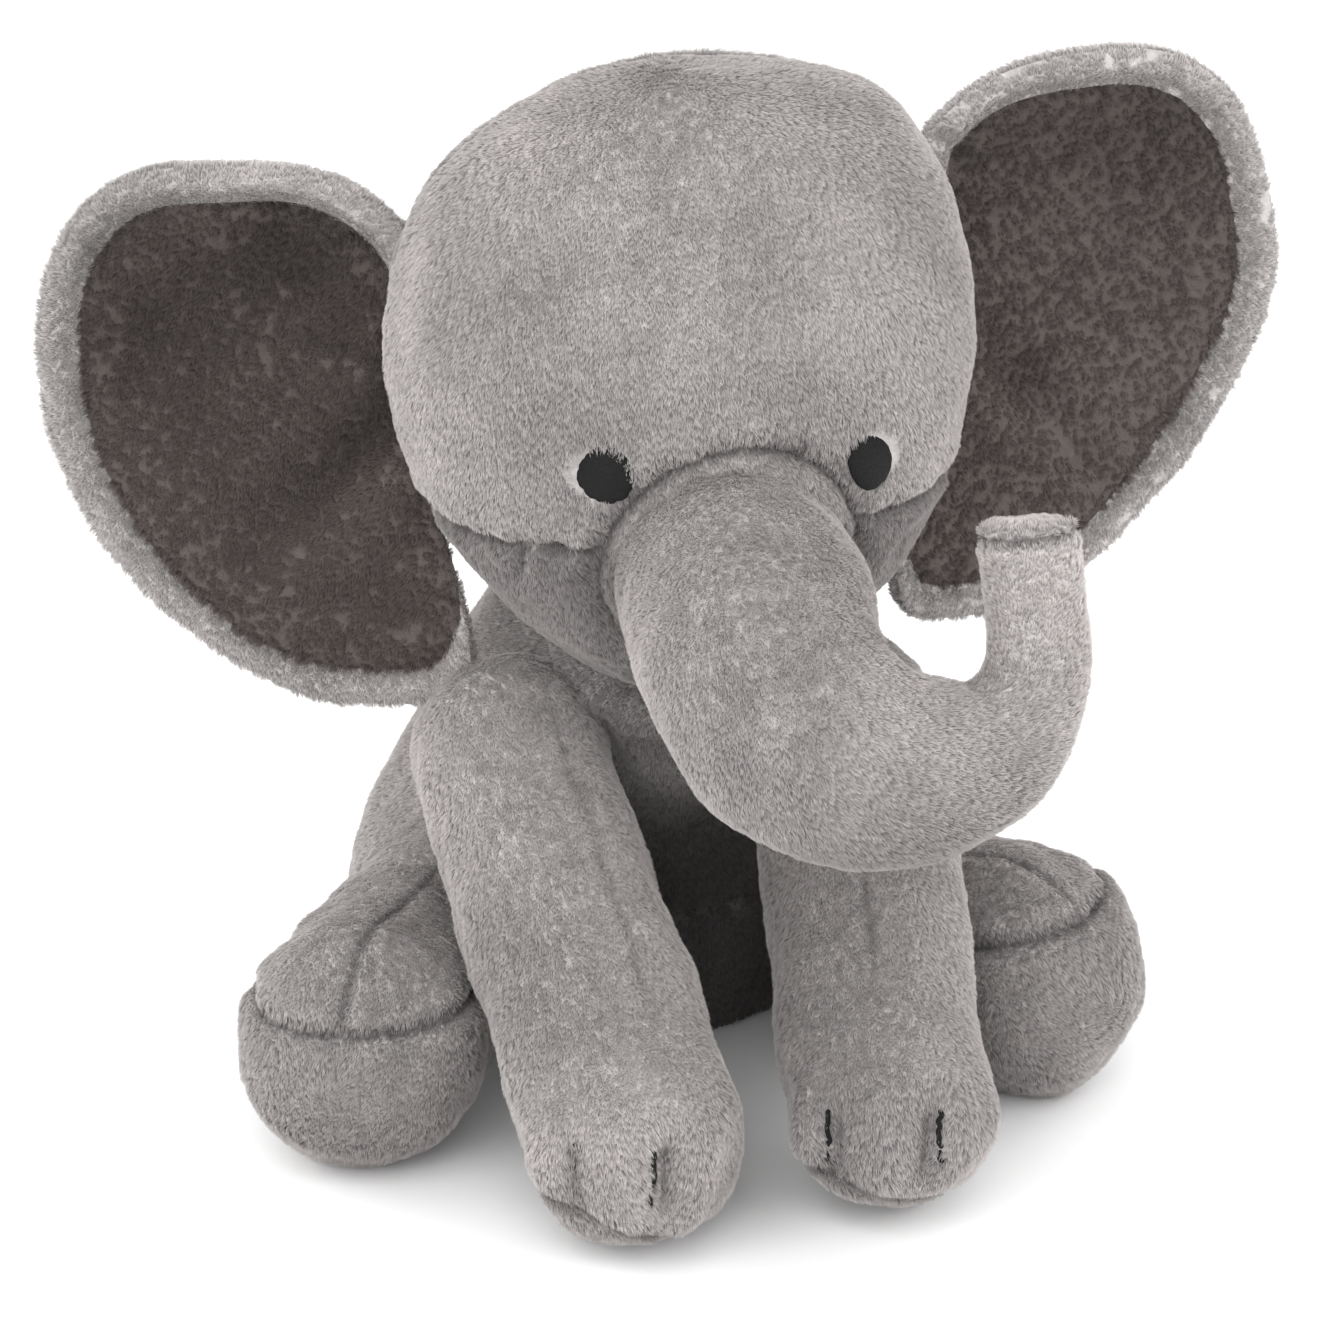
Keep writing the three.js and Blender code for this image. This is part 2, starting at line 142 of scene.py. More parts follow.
# %% Shader values and nodes
class Value:
    """A number that changes over a surface. An expression on it adds the Math nodes for it."""

    def __init__(self, finish, socket):
        self.finish = finish
        self.socket = socket

    def math(self, operation, *others, clamp=False):
        inputs = dict(enumerate((self, *others)))
        return self.finish.node("Math", inputs, operation=operation, use_clamp=clamp)

    def __add__(self, other):
        return self.math("ADD", other)

    def __mul__(self, other):
        return self.math("MULTIPLY", other)

    def __sub__(self, other):
        return self.math("SUBTRACT", other)

    def __rsub__(self, other):
        return self.finish.node("Math", {0: other, 1: self}, operation="SUBTRACT")

    def __truediv__(self, other):
        return self.math("DIVIDE", other)

    __radd__ = __add__
    __rmul__ = __mul__

    def between(self, low, high):
        """0 below low, 1 above high, and an even rise between them."""
        return ((self - low) / (high - low)).math("ADD", 0, clamp=True)


class Finish:
    """A material, and the one way to add nodes to it."""

    def __init__(self, name):
        self.material = bpy.data.materials.new(name)
        self.material.use_nodes = True
        self.tree = self.material.node_tree
        self.shader = self.tree.nodes["Principled BSDF"]

    def node(self, kind, inputs=None, out=0, **settings):
        """A node of a kind: its settings first, then the values or links of its sockets."""
        node = self.tree.nodes.new("ShaderNode" + kind)
        for name, value in settings.items():
            setattr(node, name, value)
        for name, value in (inputs or {}).items():
            self.feed(node.inputs[name], value)
        return Value(self, node.outputs[out])

    def feed(self, socket, value):
        """A link where the value comes from a node, else the socket's own number or colour."""
        if isinstance(value, Value):
            self.tree.links.new(value.socket, socket)
        else:
            socket.default_value = value

    def place(self):
        """The point on the piece, in metres."""
        return self.node("TexCoord", out="Object")

    def parts(self, vector):
        """A vector's X, Y and Z."""
        node = self.tree.nodes.new("ShaderNodeSeparateXYZ")
        self.feed(node.inputs[0], vector)
        return [Value(self, output) for output in node.outputs]

    def noise(self, place, size, detail=2, rough=0.5):
        """Soft unevenness from 0 to 1, with lumps of about one size in metres."""
        inputs = {"Vector": place, "Scale": 1 / size, "Detail": detail, "Roughness": rough}
        return self.node("TexNoise", inputs, out="Fac")

    def mix(self, share, a, b):
        """Colour a where the share is 0 and colour b where it is 1."""
        inputs = {"Factor": share, 6: a, 7: b}
        return self.node("Mix", inputs, out=2, data_type="RGBA")

    def dimmed(self, colour, share):
        """The colour times a share."""
        return self.node("VectorMath", {0: colour, "Scale": share}, operation="SCALE")

    def close(self, colour, normal=None, **values):
        """Feeds the shader: what varies is linked, and constants are set on its own sockets."""
        self.feed(self.shader.inputs["Base Color"], colour)
        if normal is not None:
            self.feed(self.shader.inputs["Normal"], normal)
        for name, value in values.items():
            self.feed(self.shader.inputs[name.replace("_", " ")], value)
        return self.material


# %% [markdown]
# Plush is made twice over. The bag's own surface is the finish that the mesh keeps wherever it
# goes: a soft nap with darker hollows between its tufts. On it grow real strands, which catch the
# light at the edges as pile does. Both take their colour from the same place on the toy, so that
# a patch brushed the other way is darker in both, and so is the shade painted into folds, under the
# chin and between the legs. The bag is painted darker than its strands, and a strand darker at its
# root, as painted shade of the pile.

# %% Plush finishes
SHADED = 0.4  # how dark the painted shade is at full strength: in folds, under the chin and belly, and on cheeks whose pile also lies the other way
ROOT_SHADE = 0.36  # how dark a strand is at its root: painted shade deep in the pile
CLEAR = 0.40  # how much light goes through a strand
TUFT = 0.35  # how much of the colour changes from tuft to tuft
SKIN_SHADE = 0.62  # how dark the bag is beside its strands: painted shade of the pile over it


def grey(level, warmth):
    """A near grey, a little warmer than neutral."""
    return (level * (1 + warmth), level * (1 - warmth), level * (1 - 1.6 * warmth), 1)


def pile_colour(finish, dark, light, warmth):
    """The piece's brushed tone with small tufts in it, and the painted shade that its second channel holds."""
    tone, shade, _ = finish.parts(finish.node("Attribute", out="Color", attribute_name="tone"))
    tuft = finish.noise(finish.place(), 0.0022, 2, 0.6).between(0.3, 0.7)
    share = tone * (1 - TUFT) + tuft * TUFT
    colour = finish.mix(share, grey(dark, warmth), grey(light, warmth))
    return finish.mix(shade, colour, grey(dark * SHADED, warmth * 1.6))


def plush_skin(name, dark, light, warmth=0.026):
    """The bag's surface: the pile's colour painted a little darker as the pile's shade, with fine tufts and a
    soft sheen.
    """
    finish = Finish(name)
    place = finish.place()
    colour = finish.dimmed(pile_colour(finish, dark, light, warmth), SKIN_SHADE)
    tufts = finish.noise(place, 0.0011, 3, 0.6) + finish.noise(place, 0.0035, 2, 0.5) * 0.8
    bump = finish.node("Bump", {"Height": tufts, "Strength": 0.9, "Distance": 0.0009})
    return finish.close(
        colour,
        bump,
        Roughness=0.95,
        Sheen_Weight=0.12,
        Sheen_Tint=grey(dark, warmth),
        Specular_IOR_Level=0.1,
    )


def plush_strands(name, dark, light, warmth=0.026):
    """The strands: the pile's colour, with painted shade towards the root, darker strand by strand, and a
    little clear.
    """
    finish = Finish(name)
    along = finish.node("HairInfo", out="Intercept")
    each = finish.node("HairInfo", out="Random")
    lit = (ROOT_SHADE + along.between(0.0, 0.75) * (1 - ROOT_SHADE)) * (1 - each * 0.2)
    colour = finish.dimmed(pile_colour(finish, dark, light, warmth), lit)
    glow = finish.node("BsdfTranslucent", {"Color": colour})
    finish.close(colour, Roughness=0.8, Specular_IOR_Level=0.1)
    both = finish.node("MixShader", {0: CLEAR, 1: Value(finish, finish.shader.outputs[0]), 2: glow})
    finish.feed(finish.tree.nodes["Material Output"].inputs["Surface"], both)
    return finish.material


print("finishes ready")


# %% [markdown]
# Each bag is a surface over a grid: one number goes round it and one goes along it. A function
# gives the point for each pair, over whole arrays at once. Sewing is a matter of how far a point
# is from a seam, so a detail is also a function: how far to push each point out or in.

# %% Grids, normals and meshes
def grid(around, along):
    """Round and along, as two arrays with one row for each ring."""
    turn = np.arange(around) / around
    run = (np.arange(along) + 0.5) / along
    return np.meshgrid(turn, run)


def facing(rings):
    """The outward normal at each grid point: across the slope round it and the slope along it."""
    round_it = np.roll(rings, -1, 1) - np.roll(rings, 1, 1)
    along_it = np.gradient(rings, axis=0)
    normal = np.cross(round_it, along_it)
    normal /= np.maximum(np.linalg.norm(normal, axis=-1, keepdims=True), 1e-9)
    outwards = np.sum(normal * (rings - rings.mean((0, 1))))
    return normal if outwards > 0 else -normal


def skin(name, rings, material, bare=False, tone=0.6, shade=0.0):
    """A closed mesh from rings in millimetres: bare keeps the pile off, and tone and shade colour it."""
    along, around = rings.shape[:2]
    bare = bare | (rings[..., 2] < 0.4)
    flat = np.zeros((along, around))
    colours = np.stack([flat + tone, flat + shade, flat, flat + 1], -1)
    if np.sum(np.cross(np.roll(rings, -1, 1) - rings, np.gradient(rings, axis=0)) * facing(rings)) < 0:
        rings, bare, colours = rings[:, ::-1], bare[:, ::-1], colours[:, ::-1]
    points = np.concatenate([rings.reshape(-1, 3), rings[[0, -1]].mean(1)])
    start = np.arange(around)
    after = np.roll(start, -1)
    rows = np.arange(along - 1)[:, None] * around
    quads = np.stack([rows + start, rows + after, rows + after + around, rows + start + around], -1)
    top = along * around
    last = (along - 1) * around
    fans = [
        np.stack([after, start, np.full(around, top)], -1),
        np.stack([last + start, last + after, np.full(around, top + 1)], -1),
    ]
    faces = [*quads.reshape(-1, 4).tolist(), *fans[0].tolist(), *fans[1].tolist()]
    mesh = bpy.data.meshes.new(name)
    mesh.from_pydata((points * MM).tolist(), [], faces)
    u = start / around
    rise = np.arange(along)[:-1, None] / along
    wide, tall = 1 / around, 1 / along
    corners = [(0, 0), (wide, 0), (wide, tall), (0, tall)]
    flat = [np.stack(np.broadcast_arrays(u + a, rise + b), -1) for a, b in corners]
    ends = []
    for level, order in ((0, (wide, 0)), (1 - tall, (0, wide))):
        tip = np.stack([u + wide / 2, np.full(around, level)], -1)
        ends.append(np.stack([np.stack([u + a, np.full(around, level)], -1) for a in order] + [tip], 1))
    flat = np.concatenate([np.stack(flat, 2).reshape(-1, 2), *[end.reshape(-1, 2) for end in ends]])
    mesh.uv_layers.new(name="round_and_along").data.foreach_set("uv", flat.astype(np.float32).ravel())
    mesh.polygons.foreach_set("use_smooth", np.ones(len(mesh.polygons), bool))
    mesh.materials.append(material)
    mesh.validate()
    corner = np.zeros(len(mesh.loops), int)
    mesh.loops.foreach_get("vertex_index", corner)
    colours = np.concatenate([colours.reshape(-1, 4), colours[[0, -1]].mean(1)])
    layer = mesh.color_attributes.new(name="tone", type="BYTE_COLOR", domain="CORNER")
    layer.data.foreach_set("color", np.clip(colours, 0, 1)[corner].astype(np.float32).ravel())
    piece = bpy.data.objects.new(name, mesh)
    bpy.context.scene.collection.objects.link(piece)
    group = piece.vertex_groups.new(name="pile")
    group.add(np.flatnonzero(~bare.ravel()).tolist(), 1.0, "REPLACE")
    piece["covered"] = float(1 - bare.mean())
    print(name, len(mesh.vertices), "points")
    return piece


# %% Sewing details
def lumps(points, size, seed, waves=10):
    """Smooth unevenness from about -1 to 1: sine waves of about one length, each its own way."""
    draw = np.random.default_rng(seed)
    ways = draw.normal(size=(waves, 3))
    ways /= np.linalg.norm(ways, axis=1, keepdims=True)
    lengths = size * draw.uniform(0.7, 1.5, waves)
    phases = draw.uniform(0, 2 * math.pi, waves)
    turns = points @ (2 * math.pi * ways / lengths[:, None]).T + phases
    return np.sin(turns).sum(-1) / math.sqrt(waves)


def seam(distance, depth=1.6, width=1.7):
    """A sewn line: a narrow groove, with the stuffed fabric swelling a little on each side."""
    groove = np.exp(-((distance / width) ** 2))
    swell = np.exp(-(((np.abs(distance) - 2.6 * width) / (1.5 * width)) ** 2))
    return -depth * groove + 0.28 * depth * swell


def sewn(points, *lines):
    """Seams, each a distance, where it runs, a depth and a width: push, bare thread and painted shade in the
    fold.
    """
    move, bare, fold = 0, False, 0
    for distance, where, depth, width in lines:
        pucker = 0.3 * depth * lumps(points, 9, 7) * np.exp(-((distance / (3 * width)) ** 2))
        move = move + (seam(distance, depth, width) + pucker) * where
        bare = bare | ((np.abs(distance) < 0.5) & (where > 0.5))
        fold = np.maximum(fold, np.exp(-((distance / 1.4) ** 2)) * where)
    return move, bare, fold


def bump(points, place, height, width):
    """A soft hill round a place, or a hollow where the height is below 0."""
    away = np.linalg.norm(points - np.asarray(place, float), axis=-1)
    return height * np.exp(-((away / width) ** 2))


def brushed_and_shaded(points, seed, *strokes):
    """The pile's tone from 0 to 1: broad soft patches, and strokes at given places, which a call uses for
    brushed pile and for painted shade.
    """
    tone = 0.62 + 0.12 * lumps(points, 60, seed) + 0.07 * lumps(points, 16, seed + 1)
    return np.clip(tone + sum(bump(points, *stroke) for stroke in strokes), 0, 1)


def fade(value, start, end):
    """0 before start and 1 after end, with a smooth rise between them."""
    share = np.clip((value - start) / (end - start), 0, 1)
    return share * share * (3 - 2 * share)


def resting(rings, soft=1.5):
    """Nothing goes below the floor: points near it flatten out on it."""
    height = rings[..., 2]
    low = soft * np.exp(np.minimum(height / soft - 1, 0))
    rings[..., 2] = np.where(height < soft, low, height)
    return rings


# %% [markdown]
# Most of the toy is stuffed tubes. A tube follows a smooth path through a few given points,
# with a section at each, and closes over each end as a quarter of an ellipse. The path's first
# point is always the seam that the limb hangs on, and that comes from the imported model.

# %% Stuffed tubes
def smooth_line(points, even=False, samples=600):
    """A Catmull-Rom curve: cubics through the points, with slopes taken from the neighbours."""
    p = np.asarray(points, float)
    p = np.vstack([2 * p[0] - p[1], p, 2 * p[-1] - p[-2]])
    gap = np.ones(len(p) - 1) if even else np.sqrt(np.linalg.norm(np.diff(p, axis=0), axis=1))
    t = np.linspace(0, len(points) - 1, samples)
    k = np.minimum(t.astype(int), len(points) - 2)
    t = (t - k)[:, None]
    a, b, c, d = (p[k + i] for i in range(4))
    before, here, after = (gap[k + i][:, None] for i in range(3))
    leave = here * ((b - a) / before - (c - a) / (before + here) + (c - b) / here)
    reach = here * ((c - b) / here - (d - b) / (here + after) + (d - c) / after)
    rest = 2 * b - 2 * c + leave + reach
    turn = -3 * b + 3 * c - 2 * leave - reach
    return b + leave * t + turn * t**2 + rest * t**3


def tube(points, widths, depths=None, side=(1, 0, 0), blunt=(1, 1), grow=0.0, around=180, along=150):
    """Rings of a stuffed tube, and how far along it from its start and from its end each point is."""
    widths = np.asarray(widths, float) + grow
    depths = widths if depths is None else np.asarray(depths, float) + grow
    path = np.asarray(points, float)
    caps = widths[0] * blunt[0], widths[-1] * blunt[1]
    start = path[0] + (path[0] - path[1]) / np.linalg.norm(path[0] - path[1]) * caps[0]
    end = path[-1] + (path[-1] - path[-2]) / np.linalg.norm(path[-1] - path[-2]) * caps[1]
    line = smooth_line([start, *path, end])
    sizes = smooth_line(
        [[w, d, 0] for w, d in zip([widths[0], *widths, widths[-1]], [depths[0], *depths, depths[-1]])],
        even=True,
    )
    length = np.concatenate([[0], np.cumsum(np.linalg.norm(np.diff(line, axis=0), axis=1))])
    slope = np.gradient(line, axis=0)
    slope /= np.linalg.norm(slope, axis=1, keepdims=True)
    u, v = grid(around, along)
    share = (1 - np.cos(math.pi * v)) / 2
    at = share * length[-1]
    centre, forward, size = (
        np.stack([np.interp(at, length, column) for column in values.T], -1) for values in (line, slope, sizes)
    )
    forward /= np.linalg.norm(forward, axis=-1, keepdims=True)
    across = np.asarray(side, float) - forward * (forward @ np.asarray(side, float))[..., None]
    across /= np.linalg.norm(across, axis=-1, keepdims=True)
    over = np.cross(forward, across)
    ends = (at, caps[0]), (length[-1] - at, caps[1])
    closing = [np.sqrt(1 - np.clip(1 - away / cap, 0, 1) ** 2) for away, cap in ends]
    round_off = (closing[0] * closing[1])[..., None]
    angle = 2 * math.pi * u
    rings = centre + round_off * (
        across * (size[..., :1] * np.cos(angle)[..., None]) + over * (size[..., 1:2] * np.sin(angle)[..., None])
    )
    return rings, at, length[-1] - at


# %% [markdown]
# Pile is thousands of strands. Blender grows them from a mesh as hair: a few thousand parents are
# drawn from a fixed seed, and the rest are interpolated between them. The way a strand leaves the
# surface sets its length and its lean: some of it straight out, some down the toy, and some along
# the piece's own map, which is how a sewer lays the nap along a trunk or a leg.

# %% Pile
STRANDS_EACH = 16
STRANDS_PER_MM2 = 7.0
STRAND_WIDTH = 0.00013
HAIR_RULE = 4  # a strand is four times as long as the velocity that it leaves with


def pile(piece, material, length=1.9, lean=1.3, push=(0, 0, 0), seed=1):
    """Grows pile: its length in millimetres, its lean along the map, and which way it is pushed."""
    mesh = piece.data
    mesh.materials.append(material)
    area = np.zeros(len(mesh.polygons))
    mesh.polygons.foreach_get("area", area)
    strands = area.sum() / MM**2 * STRANDS_PER_MM2 * piece["covered"]
    modifier = piece.modifiers.new("pile", "PARTICLE_SYSTEM")
    system = modifier.particle_system
    system.seed = seed
    system.vertex_group_density = "pile"
    hair = system.settings
    hair.type = "HAIR"
    hair.use_advanced_hair = True
    hair.count = round(strands / STRANDS_EACH)
    hair.hair_step = 4
    hair.render_step = 2
    hair.child_type = "INTERPOLATED"
    hair.rendered_child_count = STRANDS_EACH
    hair.child_percent = 1
    unit = length * MM / HAIR_RULE / np.linalg.norm([1, lean, *push])
    hair.normal_factor = unit
    hair.tangent_factor = unit * abs(lean)
    hair.tangent_phase = 1 if lean > 0 else 0
    hair.object_align_factor = (np.array(push) * unit).tolist()
    hair.factor_random = unit * 0.22
    hair.roughness_1 = 0.0002
    hair.roughness_1_size = 0.0022
    hair.roughness_2 = 0.0003
    hair.roughness_2_size = 0.002
    hair.roughness_endpoint = 0.0002
    hair.clump_factor = 0.24
    hair.root_radius = 1
    hair.tip_radius = 0.4
    hair.radius_scale = STRAND_WIDTH
    hair.material = len(mesh.materials)
    print(piece.name, "strands:", round(strands))
    return piece


# %% [markdown]
# The head is the largest bag: an egg that is wider and boxier at the crown, sewn from a crown, two
# cheeks and a back. The eyes are satin-stitched, which pulls the fabric in, and the trunk is sewn
# into an oval opening, so the head has a groove along each of those lines.

# %% Head
HEAD_CENTRE = np.array([0, -72, 186])
HEAD_RADII = (71, 60, 76)
CROWN_DROP = 1.6  # the crown sags this much once it is stuffed
HEAD_TAPER = 0.1
HEAD_BOXINESS = 0.76
HEAD_ROLL = math.radians(-3.5)
PILE_ROOM = 2.0  # the fabric lies this far inside its solid, and the pile fills the rest
FACE_SEAM = 161
BACK_SEAM = -62

GREY_DARK, GREY_LIGHT = 0.36, 0.90
LINING_DARK, LINING_LIGHT = 0.09, 0.23


def rolled(points):
    """Turned with the head's small roll about the Y axis."""
    x, y, z = np.moveaxis(points, -1, 0)
    c, s = math.cos(HEAD_ROLL), math.sin(HEAD_ROLL)
    return np.stack([x * c + z * s, y, z * c - x * s], -1)


def head_rings(around=300, along=200):
    """An egg: circles whose size follows a cosine, boxier above the middle and wider with height."""
    u, v = grid(around, along)
    level, lift = np.cos(math.pi * v), np.sin(math.pi * v)
    box = HEAD_BOXINESS - 0.13 * np.cos(2 * math.pi * u)
    size = np.where(level > 0, lift**box, lift)
    a, b, c = (radius - PILE_ROOM for radius in HEAD_RADII)
    x = a * size * np.cos(2 * math.pi * u) * (1 + HEAD_TAPER * level)
    y = b * size * np.sin(2 * math.pi * u)
    z = c * level - CROWN_DROP * np.maximum(level, 0)
    return rolled(np.stack([x, y, z], -1)) + HEAD_CENTRE


EYE_RADIUS = 7.0
EYE_BARE = 6.5  # no pile grows this near an eye's middle
EYES = {side: middle(f"eye_{side}") for side in ("left", "right")}
TRUNK_SEAM = pivot("trunk_lift") + [0, 0, 1]
head = head_rings()
out = facing(head)
x, y, z = np.moveaxis(head, -1, 0)
from_trunk = np.hypot(x - TRUNK_SEAM[0], z - TRUNK_SEAM[2]) - 31
on_face = fade(-y, -BACK_SEAM - 2, -BACK_SEAM + 10)
beyond_trunk = fade(from_trunk, -2, 3)
seam_level = (z - FACE_SEAM + x * math.tan(HEAD_ROLL)) * math.cos(HEAD_ROLL)
on_cheeks = on_face * (1 - fade(seam_level, -1.5, 1))
dart = (x + 46, on_face * fade(seam_level, -11, -8) * (1 - fade(seam_level, -1, 0)), 1.5, 1.5)
move, head_bare, fold = sewn(
    head,
    (seam_level, on_face * beyond_trunk, 2.2, 1.8),
    (y - BACK_SEAM, fade(z, 120, 150), 1.2, 1.7),
    (from_trunk, fade(-y, 90, 92), 3.0, 2.2),
    (x, np.maximum(fade(-z, -128, -118), fade(y, -40, -30)), 1.2, 1.7),
    dart,
)
move += 0.9 * lumps(head, 52, 3) + 0.35 * lumps(head, 19, 4)
for eye in EYES.values():
    move += bump(head, eye, -1.6, 9)
    head_bare |= (np.hypot(x - eye[0], z - eye[2] - 0.3) < EYE_BARE) & (y < -90)
head = head + out * move[..., None]
# The last stroke is painted shade on the toy's left cheek, the side away from the key lamp.
tone = brushed_and_shaded(
    head,
    12,
    ((30, -105, 250), 24, -0.40),
    ((-5, -95, 258), 22, -0.30),
    ((-45, -100, 240), 18, -0.18),
    ((15, -125, 232), 16, -0.22),
    ((0, -130, 200), 36, 0.14),
    ((46, -118, 148), 22, -0.35),
)
# Painted shade in the seam folds; the cheeks are darker partly as their pile lies the other way and partly as
# painted shade.
shade = np.maximum(0.45 * on_cheeks, 0.8 * fold)

head_skin = plush_skin("head_plush", GREY_DARK, GREY_LIGHT)
head_piece = skin("head_cover", head, head_skin, head_bare, tone, shade)
pile(head_piece, plush_strands("head_pile", GREY_DARK, GREY_LIGHT), push=(0, -0.2, -0.1), seed=11)
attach(head_piece, "head")
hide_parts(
    "crown_panel",
    "back_of_head_panel",
    "cheek_panel_left",
    "cheek_panel_right",
    "head_stuffing",
)


# %% [markdown]
# An eye is a disc of black satin stitch. It is a low dome on the head's surface, with the ridges of
# the thread running across it and an edge that wanders a little from stitch to stitch.

# %% Eyes
def thread_finish(name, way):
    """Matt black thread, with a fine ridge for each stitch."""
    finish = Finish(name)
    place = finish.place()
    run = finish.parts(place)[way]
    ridge = (run * (2 * math.pi / 0.00045)).math("SINE")
    fuzz = finish.noise(place, 0.0008, 2, 0.6)
    colour = finish.mix(fuzz, (0.004, 0.004, 0.004, 1), (0.016, 0.015, 0.015, 1))
    bump = finish.node("Bump", {"Height": ridge + fuzz, "Strength": 0.5, "Distance": 0.0002})
    return finish.close(colour, bump, Roughness=0.8, Specular_IOR_Level=0.2)


def on_surface(rings, normals, place):
    """The grid point nearest to a place, and the way the surface faces there."""
    index = np.unravel_index(np.argmin(np.linalg.norm(rings - place, axis=-1)), rings.shape[:2])
    return rings[index], normals[index]


def stitched_disc(spot, normal, radius, seed, rise=2.1, sunk=0.9, around=96, along=40):
    """A low dome: a circle with a wandering edge, lifted by the cosine of its place."""
    u, v = grid(around, along)
    across = np.cross(normal, [0, 0, 1.0])
    across /= np.linalg.norm(across)
    up = np.cross(across, normal)
    draw = np.random.default_rng(seed)
    counts = (3, 5, 9, 14, 23)
    waves = sum(draw.uniform(0.004, 0.016) * np.sin(2 * math.pi * (k * u + draw.uniform())) for k in counts)
    reach = radius * (1 + waves) * np.sin(math.pi * v)
    lift = np.where(v < 0.5, rise, sunk) * np.cos(math.pi * v)
    angle = 2 * math.pi * u
    return (
        spot
        + across * (reach * np.cos(angle))[..., None]
        + up * (reach * np.sin(angle))[..., None]
        + normal * lift[..., None]
    )


head_out = facing(head)
for side, seed in (("left", 5), ("right", 6)):
    spot, normal = on_surface(head, head_out, EYES[side])
    disc = stitched_disc(spot, normal, EYE_RADIUS, seed)
    eye = skin(f"eye_{side}_embroidery", disc, thread_finish(f"eye_{side}_thread", 2))
    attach(eye, "head")
    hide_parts(f"eye_{side}")


# %% [markdown]
# An ear is a flat pillow. Its outer fabric wraps round the edge to the front, where the dark lining
# is sewn in, so the rim is a soft roll with the seam in a valley inside it. Ears crease where they
# are gathered into the head, in folds that spread from there.

# %% Ears
EAR_LENGTH, EAR_UP, EAR_DOWN, EAR_THICKNESS, EAR_HEM = 99, 60, 81, 13, 11
EAR_CUP = 7
EAR_LEAN = 25
EAR_SWEEP = {"left": 9, "right": 30}
EAR_SHAPE = {
    "left": {"longer": 4.0, "higher": 2.0, "towards": (2, 5, 10), "round": (0.83, 0.70, 1.22, 0.58)},
    "right": {"longer": -3.0, "higher": -1.0, "towards": (4, 8, 9), "round": (0.92, 0.60, 1.02, 0.58)},
}
EAR_FOLDS = {
    "left": (
        ((2, -8), (28, -38), 3.2, 7),
        ((30, -20), (48, -44), -2.8, 7),
        ((0, -30), (16, -56), -2.4, 6),
        ((-2, 4), (20, -4), -2.2, 5),
        ((2, 43), (13, 34), 2.2, 2.2),
        ((7, 47), (17, 38), -1.8, 2.2),
    ),
    "right": (
        ((0, -1), (48, -42), -4.6, 8),
        ((4, -22), (46, -60), 2.6, 9),
        ((0, 7), (24, 14), -2.0, 4),
        ((-2, -26), (5, -42), -1.6, 4),
        ((30, 30), (70, 10), -1.4, 12),
    ),
}


